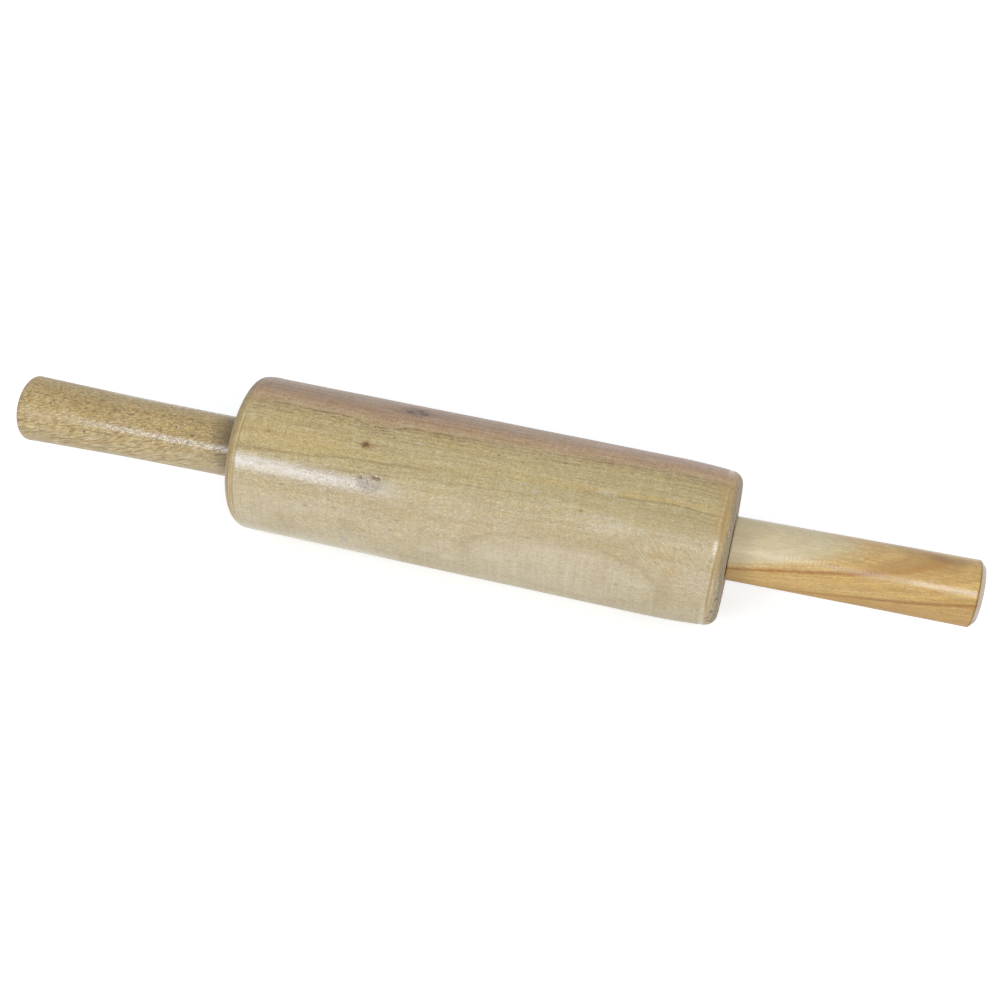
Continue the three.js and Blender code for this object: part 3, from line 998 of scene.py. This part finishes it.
def right_rings(wood):
    """Height above a slanted ring plane, in millimetres."""
    slope = wood.times(wood.minus(wood.x, RIGHT_ROOT), -ARCH_SLANT)
    wander = wood.sway(wood.grain(30.0, 9.0, shift=2), 1.2)
    ruffle = wood.sway(wood.grain(2.6, 0.9, shift=9, detail=3.0, roughness=0.6), 1.6)
    return wood.total(wood.upright(ARCH_ANGLE), slope, wander, ruffle)


def colour_right(wood, rings):
    """Colour the handle by its rings, and give the share of sapwood."""
    wood.colour = wood.ramp(rings, RIGHT_RING_COLOURS)
    sap_start = wood.total(SAP_START, wood.times(wood.minus(wood.x, RIGHT_ROOT), SAP_SLANT))
    sap = wood.spread(wood.minus(rings, sap_start), -2.0, 3.0)
    wood.stain(sap, SAPWOOD)
    return sap


right_finish = Finish("right_handle_wood", RIGHT_MM, RIGHT_ROOT, RIGHT_SLOPE, RIGHT_SHIFT)
arches = right_rings(right_finish)
sapwood_share = colour_right(right_finish, arches)
right_finish.report("rings")

# %% [markdown]
# Streaks, fibres and flecks are bolder in the heartwood than in the sapwood. Two dark ring lines run along
# the handle. The upper one frays into fine streaks where its arch closes, and a brown cloud lies beyond it.

# %% Right handle grain and dark lines
UPPER_LINE = 1.5
UPPER_COLOUR = paint(160, 100, 38)
FRAY_COLOUR = paint(164, 110, 46)
LOWER_LINE = -9.5
LOWER_COLOUR = paint(152, 98, 40)
CLOUD = Spot(202.0, 106.0, 13.0, 4.0)
CLOUD_COLOUR = paint(150, 114, 68)


def right_grain(wood, rings, sap):
    """Add the grain, and give its streaks, fibres and flecks."""
    bold = wood.spread(sap, 0.0, 1.0, 1.0, 0.45)
    streaks = wood.ring_lines(rings, 0.6, 50.0, 4.0)
    wood.mottle(streaks, wood.times(bold, 0.17))
    fibres = wood.grain(16.0, 0.6, shift=3, detail=4.0, roughness=0.65)
    wood.mottle(fibres, wood.times(bold, 0.18))
    flecks = wood.grain(1.4, 0.6, shift=11, detail=3.0, roughness=0.7)
    wood.mottle(flecks, wood.times(bold, 0.2))
    wood.warm(wood.grain(8.0, 1.6, shift=37, detail=3.0), wood.spread(sap, 0.0, 1.0, 0.12, 0.06))
    upper = wood.times(wood.band(rings, UPPER_LINE, 1.15), wood.spread(wood.x, 150.0, 185.0, 0.8, 0.4))
    wood.stain(upper, UPPER_COLOUR)
    frayed = wood.times(wood.spread(flecks, 0.42, 0.6), wood.spread(wood.x, 150.0, 172.0))
    frayed = wood.total(0.06, wood.times(frayed, 0.55))
    wood.stain(wood.times(wood.band(rings, UPPER_LINE + 0.3, 3.0), frayed), FRAY_COLOUR)
    lower = wood.times(wood.band(rings, LOWER_LINE, 1.2), wood.spread(wood.x, 130.0, 165.0, 0.3, 0.75))
    wood.stain(lower, LOWER_COLOUR)
    streaky = wood.spread(wood.spread(streaks, 0.35, 0.6), 0.0, 1.0, 0.3, 0.65)
    wood.stain(wood.times(wood.spot(CLOUD), streaky), CLOUD_COLOUR)
    return streaks, fibres, flecks


right_noises = right_grain(right_finish, arches, sapwood_share)
right_finish.report("grain and dark lines")

# %% [markdown]
# The tip has a bevel, painted pale both for its sanded end grain and as a painted highlight, with a dark
# crease behind it. The underside is duller. The chisel chattered along the middle of this handle, which
# breaks its glint into short bars.

# %% Right handle tip and varnish
BEVEL_WOOD_AND_SHEEN = paint(214, 205, 202)
CREASE_DIRT = paint(104, 72, 42)
RIGHT_END_COLOURS = ((0.3, paint(122, 88, 52)), (0.5, paint(162, 128, 86)), (0.7, paint(192, 162, 120)))
UNDERSIDE = paint(206, 164, 96)
# A painted highlight colour for the right handle's glint.
RIGHT_HIGHLIGHT_TINT = paint(186, 162, 148)
CHATTER = 2 * math.pi / 1.7
RIGHT_RELIEF = 0.05


def finish_right(wood, streaks, fibres, flecks):
    # The bevel is painted pale: sanded end grain, with a painted highlight.
    wood.stain(wood.times(wood.spread(wood.x, RIGHT_TIP - 2.0, RIGHT_TIP - 1.2), 0.65), BEVEL_WOOD_AND_SHEEN)
    wood.stain(wood.times(wood.band(wood.x, RIGHT_TIP - 2.3, 0.5), 0.75), CREASE_DIRT)
    end = wood.attribute("end_grain")
    end_colour = wood.ramp(flecks, RIGHT_END_COLOURS)
    wood.stain(wood.times(end, 0.75), wood.mottled(end_colour, streaks, 0.3))
    under = wood.around(14.0, -12.0)
    wood.stain(wood.times(under, 0.2), UNDERSIDE)
    # Painted highlight: a cool tint along the glint.
    highlight_tint = wood.times(wood.band(wood.angle, 49.0, 6.0), wood.spread(wood.x, 140.0, 165.0), 0.22)
    wood.stain(highlight_tint, RIGHT_HIGHLIGHT_TINT)
    gloss = wood.spread(wood.x, 185.0, 150.0, 0.24, 0.32)
    roughness = wood.total(gloss, wood.times(end, 0.3), wood.times(under, 0.3))
    chatter = wood.math("SINE", wood.total(wood.times(wood.x, CHATTER), wood.times(fibres, 3.0)))
    chatter = wood.times(chatter, wood.spread(wood.x, 130.0, 142.0), wood.spread(wood.x, 192.0, 184.0))
    height = wood.total(wood.times(fibres, 0.5), wood.times(flecks, 0.8), wood.times(chatter, 0.8))
    return wood.varnish(roughness, height, RIGHT_RELIEF)


RIGHT_WOOD = finish_right(right_finish, *right_noises)
right_finish.report("tip and varnish")

# %% [markdown]
# The barrel's skin follows the solid: a softened rim on each side, a slimmer stretch beside the right rim,
# and the stepped hole for the bushings. The left rim ends in a crease, where sanding met the turned face.

# %% Barrel shape
LEFT_RIM_LENGTH = 7.9 * MM
LEFT_RIM_DEPTH = 4.9 * MM
LEFT_RIM_END = math.radians(70)
RIGHT_RIM_LENGTH = 5.8 * MM
RIGHT_RIM_DEPTH = 5.3 * MM
SLIM_LENGTH = 32 * MM
SLIM_DEPTH = 1.1 * MM
PRESS_GAP = 0.15 * MM
SEAT_GAP = 0.3 * MM
MOUTH_CHAMFER = 0.7 * MM
FLANGE_THICKNESS = 2 * MM
SLEEVE_RADIUS = 8 * MM
BORE_GAP = 1 * MM


def barrel_outside(left, right, mouth):
    """The profile of the faces, the rims and the body, from the left hole's mouth to the right one's."""
    rim_sink = LEFT_RIM_DEPTH * (1 - math.sin(LEFT_RIM_END))
    face_radius = BARREL_RADIUS - LEFT_RIM_DEPTH + rim_sink
    slim_radius = BARREL_RADIUS - SLIM_DEPTH
    slim_start = right - SLIM_LENGTH
    rim_start = right - RIGHT_RIM_LENGTH

    def left_rim(share):
        angle = share * LEFT_RIM_END
        radius = face_radius + LEFT_RIM_DEPTH * math.sin(angle)
        return left + LEFT_RIM_LENGTH * (1 - math.cos(angle)), radius

    def slimming(share):
        return slim_start + share * (rim_start - slim_start), BARREL_RADIUS - SLIM_DEPTH * share**2

    def right_rim(share):
        angle = share * math.pi / 2
        radius = slim_radius - RIGHT_RIM_DEPTH * (1 - math.cos(angle))
        return rim_start + RIGHT_RIM_LENGTH * math.sin(angle), radius

    profile = [(left, mouth, FACE)]
    line_to(profile, left, face_radius, FACE_STEP, FACE)
    curve_to(profile, left_rim, RIM_STEPS)
    line_to(profile, slim_start, BARREL_RADIUS, SKIN_STEP, SKIN)
    curve_to(profile, slimming, round((rim_start - slim_start) / SKIN_STEP))
    curve_to(profile, right_rim, RIM_STEPS)
    line_to(profile, right, mouth, FACE_STEP, FACE)
    return profile


def barrel_profile():
    left, right = barrel_low.x, barrel_high.x
    recess = bushing_high.z + PRESS_GAP
    mouth = recess + MOUTH_CHAMFER
    floor_inset = right - (bushing_high.x - FLANGE_THICKNESS - SEAT_GAP)
    seat_inset = right - (bushing_low.x - SEAT_GAP)
    seat = SLEEVE_RADIUS + PRESS_GAP
    bore = axle_high.z + BORE_GAP
    steps = (
        (0, mouth),
        (MOUTH_CHAMFER, recess),
        (floor_inset, recess),
        (floor_inset, seat),
        (seat_inset, seat),
        (seat_inset, bore),
    )
    profile = barrel_outside(left, right, mouth)
    for inset, radius in steps[1:]:
        line_to(profile, right - inset, radius, HOLE_STEP, HOLE)
    for inset, radius in reversed(steps):
        line_to(profile, left + inset, radius, HOLE_STEP, HOLE)
    return profile


barrel = turn_piece("turned_barrel", barrel_profile(), BARREL_WOOD, **{
    "Columns": 280,
    "Waviness": 0.25 * MM,
    "Wave length": 40 * MM,
    "Ripple depth": 0.01 * MM,
    "Ripple spacing": 2.4 * MM,
    "Seed": 3.0,
})

# %% [markdown]
# The rims were rounded by hand, more in front than behind, and the right end was sawn a little out of
# square. Both are gentle moves of the rims' points, so they are done with numbers on the finished mesh.

# %% Make the rims uneven
LEFT_ROUND_MIDDLE = 0.62
LEFT_ROUND_SWING = 0.38
LEFT_ROUND_ANGLE = math.radians(-10)
SKEW_MIDDLE = 0.1 * MM
SKEW_SWING = 0.6 * MM
SKEW_ANGLE = math.radians(-99)
SKEW_REACH = 7 * MM
SKEW_RADII = (16 * MM, 30 * MM)


def read_points(piece):
    places = np.empty(len(piece.data.vertices) * 3)
    piece.data.vertices.foreach_get("co", places)
    return places.reshape(-1, 3)


def move_points(piece, places):
    piece.data.vertices.foreach_set("co", places.ravel())
    piece.data.update()


def shape_rims(piece):
    places = read_points(piece)
    x = places[:, 0]
    spoke = np.hypot(places[:, 1], places[:, 2])
    angle = np.arctan2(places[:, 2], -places[:, 1])
    share = LEFT_ROUND_MIDDLE + LEFT_ROUND_SWING * np.cos(angle - LEFT_ROUND_ANGLE)
    left_rim = (x < barrel_low.x + LEFT_RIM_LENGTH) & (spoke > BARREL_RADIUS - LEFT_RIM_DEPTH)
    rounded = BARREL_RADIUS - (BARREL_RADIUS - spoke) * share
    scale = np.where(left_rim, rounded / np.maximum(spoke, TOUCHING), 1)
    places[:, 1:] *= scale[:, None]
    near = np.clip((x - barrel_high.x + SKEW_REACH) / SKEW_REACH, 0, 1)
    out = np.clip((spoke - SKEW_RADII[0]) / (SKEW_RADII[1] - SKEW_RADII[0]), 0, 1)
    places[:, 0] += near * out * (SKEW_MIDDLE + SKEW_SWING * np.cos(angle - SKEW_ANGLE))
    move_points(piece, places)
    reach = places[:, 0].max() / MM
    print(f"{piece.name}: {int(left_rim.sum())} points of the left rim, right end at {reach:.1f} mm")


shape_rims(barrel)

# %% [markdown]
# The marks that have a depth are pressed into the barrel's mesh. Each point near a mark moves towards the
# axle by a smooth bowl, so the pits and chips catch the light from every side.

# %% Dent the barrel
SKIN_SHARE = 0.75


def dent(piece, marks, radius):
    places = read_points(piece)
    spoke = np.hypot(places[:, 1], places[:, 2])
    angle = np.degrees(np.arctan2(places[:, 2], -places[:, 1]))
    sunk = np.zeros(len(places))
    for mark in marks:
        for x, middle in mark.places:
            along = (places[:, 0] / MM - x) / mark.half_length
            arc = np.radians(angle - middle) * radius / mark.half_width
            bowl = np.clip(1 - along**2 - arc**2, 0, None)
            sunk = np.maximum(sunk, mark.depth * MM * bowl)
    skin = spoke > SKIN_SHARE * radius * MM
    scale = np.where(skin, 1 - sunk / np.maximum(spoke, TOUCHING), 1)
    places[:, 1:] *= scale[:, None]
    move_points(piece, places)
    deepest = sunk[skin].max() / MM
    print(f"{piece.name}: {int((sunk[skin] > 0).sum())} points dented, deepest {deepest:.2f} mm")


dent(barrel, [mark for mark in BARREL_MARKS.values() if mark.depth], BARREL_MM)

# %% [markdown]
# Both handles are drawn alike: up a blind hole from the drilled point, round the corner that faces the
# barrel, along the grip and round the tip. A small lip reaches round the washer, so only a thin dark line
# is left between the handle and the barrel. A parabola through three radii gives the gentle swelling of the
# left handle and the straighter right one. The tips differ: one is rounded, the other bevelled.

# %% Handle shapes
HOLE_GAP = 0.15 * MM
GLUE_POCKET = 2 * MM
DRILL_HALF_ANGLE = math.radians(59)
ROOT_ROUND = 0.4 * MM
ROOT_STEPS = 5
TIP_STEPS = 8
LIP_RADIUS = 12.2 * MM
LIP_LENGTH = 0.3 * MM
LEFT_RADII = (14.05 * MM, 14.25 * MM, 15.45 * MM)
LEFT_TIP_ROUND = 2.2 * MM
RIGHT_RADII = (14.1 * MM, 14.25 * MM, 14.55 * MM)
RIGHT_TIP_BEVEL = 2.2 * MM


def swelling(radii):
    """A parabola through the radii at the root, the middle and the tip."""
    root, middle, tip = radii

    def radius_at(share):
        at_root = (1 - share) * (1 - 2 * share) * root
        return at_root + 4 * share * (1 - share) * middle + share * (2 * share - 1) * tip

    return radius_at


def handle_profile(root_x, tip_x, axle_end, radii, tip_points):
    way = math.copysign(1, tip_x - root_x)
    hole = axle_high.z + HOLE_GAP
    hole_floor = axle_end + way * GLUE_POCKET
    radius_at = swelling(radii)
    lip_x = root_x - way * LIP_LENGTH
    grip_start = lip_x + way * ROOT_ROUND
    grip_end = tip_x - way * tip_points[0][0]
    length = abs(grip_end - grip_start)

    def root_corner(share):
        angle = share * math.pi / 2
        radius = radii[0] - ROOT_ROUND * (1 - math.sin(angle))
        return lip_x + way * ROOT_ROUND * (1 - math.cos(angle)), radius

    def grip(share):
        return grip_start + way * share * length, radius_at(share)

    profile = [(hole_floor + way * hole / math.tan(DRILL_HALF_ANGLE), 0, HOLE)]
    line_to(profile, hole_floor, hole, HOLE_STEP, HOLE)
    line_to(profile, root_x + way * MOUTH_CHAMFER, hole, HOLE_STEP, HOLE)
    line_to(profile, root_x, hole + MOUTH_CHAMFER, HOLE_STEP, HOLE)
    line_to(profile, root_x, LIP_RADIUS, FACE_STEP, FACE)
    line_to(profile, lip_x, LIP_RADIUS, FACE_STEP, FACE)
    line_to(profile, lip_x, radii[0] - ROOT_ROUND, FACE_STEP, FACE)
    curve_to(profile, root_corner, ROOT_STEPS)
    curve_to(profile, grip, round(length / SKIN_STEP))
    for inset, drop in tip_points[1:]:
        line_to(profile, tip_x - way * inset, radii[2] - drop, SKIN_STEP / 2, SKIN)
    line_to(profile, tip_x, 0, FACE_STEP, FACE)
    return profile


def rounded_tip(size):
    turns = [i / TIP_STEPS * math.pi / 2 for i in range(TIP_STEPS + 1)]
    return [(size * (1 - math.sin(a)), size * (1 - math.cos(a))) for a in turns]


left_profile = handle_profile(left_high.x, left_low.x, axle_low.x, LEFT_RADII, rounded_tip(LEFT_TIP_ROUND))
left_handle = turn_piece("turned_left_handle", left_profile, LEFT_WOOD, left_high.x, LEFT_SLOPE, **{
    "Columns": 144,
    "Waviness": 0.35 * MM,
    "Wave length": 25 * MM,
    "Ripple depth": 0.01 * MM,
    "Ripple spacing": 2.0 * MM,
    "Seed": 8.0,
})
bevelled_tip = [(RIGHT_TIP_BEVEL, 0), (0, RIGHT_TIP_BEVEL)]
right_profile = handle_profile(right_low.x, right_high.x, axle_high.x, RIGHT_RADII, bevelled_tip)
right_lean = (right_low.x, RIGHT_SLOPE, RIGHT_SHIFT * MM)
right_handle = turn_piece("turned_right_handle", right_profile, RIGHT_WOOD, *right_lean, **{
    "Columns": 144,
    "Waviness": 0.3 * MM,
    "Wave length": 25 * MM,
    "Ripple depth": 0.035 * MM,
    "Ripple spacing": 1.7 * MM,
    "Seed": 5.0,
})

# %% [markdown]
# End grain drinks stain and dirt, so the flat ends look darker and rougher than the sides. A point
# attribute marks them: it is one where the surface faces along the pin, and fades over the rims.

# %% Mark the end grain
END_FACING = (0.8, 0.97)


def mark_end_grain(piece):
    mesh = piece.data
    normals = np.zeros(len(mesh.vertices) * 3, np.float32)
    mesh.vertex_normals.foreach_get("vector", normals)
    facing = np.abs(normals.reshape(-1, 3)[:, 0])
    share = np.clip((facing - END_FACING[0]) / (END_FACING[1] - END_FACING[0]), 0, 1)
    mark = mesh.attributes.new("end_grain", "FLOAT", "POINT")
    mark.data.foreach_set("value", share.astype(np.float32))
    print(f"{piece.name}: {int((share > 0.5).sum())} points of end grain")


for piece in (barrel, left_handle, right_handle):
    mark_end_grain(piece)

# %% [markdown]
# The axle and washers are drawn steel and the bushings moulded nylon. They are hidden inside, but they
# still get finishes of their own, for anyone who takes the pin apart.

# %% Steel and nylon
def steel_finish():
    steel = Finish("dull_steel")
    scratches = steel.grain(5.0, 0.17, detail=3.0)
    steel.colour = steel.ramp(scratches, ((0.2, paint(112, 110, 106)), (0.8, paint(150, 148, 144))))
    steel.shader.inputs["Metallic"].default_value = 1.0
    return steel.finish(steel.spread(scratches, 0.3, 0.7, 0.34, 0.5), scratches, 0.004)


def nylon_finish():
    nylon = Finish("natural_nylon")
    cloud = nylon.grain(4.0, 4.0, detail=3.0)
    nylon.colour = nylon.ramp(cloud, ((0.2, paint(228, 223, 210)), (0.8, paint(240, 237, 228))))
    return nylon.finish(nylon.spread(cloud, 0.3, 0.7, 0.42, 0.55), cloud, 0.02)


def dress(node, material):
    """Give a solid's own object a new material."""
    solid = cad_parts[node]
    for slot in solid.material_slots:
        slot.material = material


STEEL = steel_finish()
NYLON = nylon_finish()
for node in ("axle_rod", "left_washer", "right_washer"):
    dress(node, STEEL)
for node in ("left_bushing", "right_bushing"):
    dress(node, NYLON)
print("finishes:", STEEL.name, NYLON.name)

# %% [markdown]
# Each skin rides on the body of the solid it stands for: the barrel spins, and the handles stay with the
# axle.

# %% Join the skins to the solids
for piece, node, body, slot in (
    (barrel, "barrel", "roller", "barrel_wood"),
    (left_handle, "left_handle", "grip", "left_handle_wood"),
    (right_handle, "right_handle", "grip", "right_handle_wood"),
):
    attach(piece, body)
    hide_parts(node)
    print(piece.name, "rides on", body)

# %% [markdown]
# The studio is plain: a pale floor under a soft white surround, one softbox at the front left and a smaller
# one above on the right. The long glints on the varnish are their reflections. The floor looks white to
# the camera and in reflections, and still shows the pin's soft shadow.

# %% Studio
FLOOR_SIZE = 8.0
FLOOR_COLOUR = (0.78, 0.8, 0.83, 1)
FLOOR_GLOW = 0.52
SURROUND = 0.6
COOL_WHITE = (0.95, 0.98, 1.0)
SOFTBOXES = (
    ("front_left_softbox", (-0.54, -1.0, 0.65), (0.42, 0.36), 4.2),
    ("top_right_softbox", (0.29, -0.61, 0.70), (0.24, 0.2), 1.8),
)


def add_floor():
    half = FLOOR_SIZE / 2
    mesh = bpy.data.meshes.new("floor")
    corners = [(-half, -half), (half, -half), (half, half), (-half, half)]
    mesh.from_pydata([(x, y, FLOOR_HEIGHT) for x, y in corners], [], [(0, 1, 2, 3)])
    floor = bpy.data.objects.new("floor", mesh)
    scene.collection.objects.link(floor)
    mesh.materials.append(floor_finish())
    return floor


def seen_share(tree):
    """One for camera, glossy and transmission rays, and zero for the light that bounces about."""
    path = tree.nodes.new("ShaderNodeLightPath").outputs
    return calculate(tree, "MAXIMUM", path["Is Camera Ray"],
                     calculate(tree, "MAXIMUM", path["Is Glossy Ray"], path["Is Transmission Ray"]))


def floor_finish():
    material = bpy.data.materials.new("pale_floor")
    material.use_nodes = True
    tree = material.node_tree
    tree.nodes.clear()
    matt = add_node(tree, "ShaderNodeBsdfDiffuse", {"Color": FLOOR_COLOUR})
    glow = add_node(tree, "ShaderNodeEmission", {"Color": (1, 1, 1, 1), "Strength": FLOOR_GLOW})
    lit = add_node(tree, "ShaderNodeAddShader", {0: matt.outputs[0], 1: glow.outputs[0]})
    either = {0: seen_share(tree), 1: matt.outputs[0], 2: lit.outputs[0]}
    mixed = add_node(tree, "ShaderNodeMixShader", either)
    add_node(tree, "ShaderNodeOutputMaterial", {0: mixed.outputs[0]})
    return material


def set_world():
    world = bpy.data.worlds.new("surround")
    scene.world = world
    world.use_nodes = True
    tree = world.node_tree
    strength = calculate(tree, "ADD", calculate(tree, "MULTIPLY", seen_share(tree), 1 - SURROUND), SURROUND)
    background = tree.nodes["Background"]
    background.inputs["Color"].default_value = (1, 1, 1, 1)
    tree.links.new(strength, background.inputs["Strength"])


def add_softbox(name, place, size, power):
    lamp = bpy.data.lights.new(name, "AREA")
    lamp.shape = "RECTANGLE"
    lamp.size, lamp.size_y = size
    lamp.energy = power
    lamp.color = COOL_WHITE
    box = bpy.data.objects.new(name, lamp)
    scene.collection.objects.link(box)
    box.location = place
    box.rotation_mode = "QUATERNION"
    box.rotation_quaternion = (-Vector(place)).to_track_quat("-Z", "Y")
    return box


add_floor()
set_world()
for settings in SOFTBOXES:
    add_softbox(*settings)
print("softboxes:", [settings[0] for settings in SOFTBOXES])
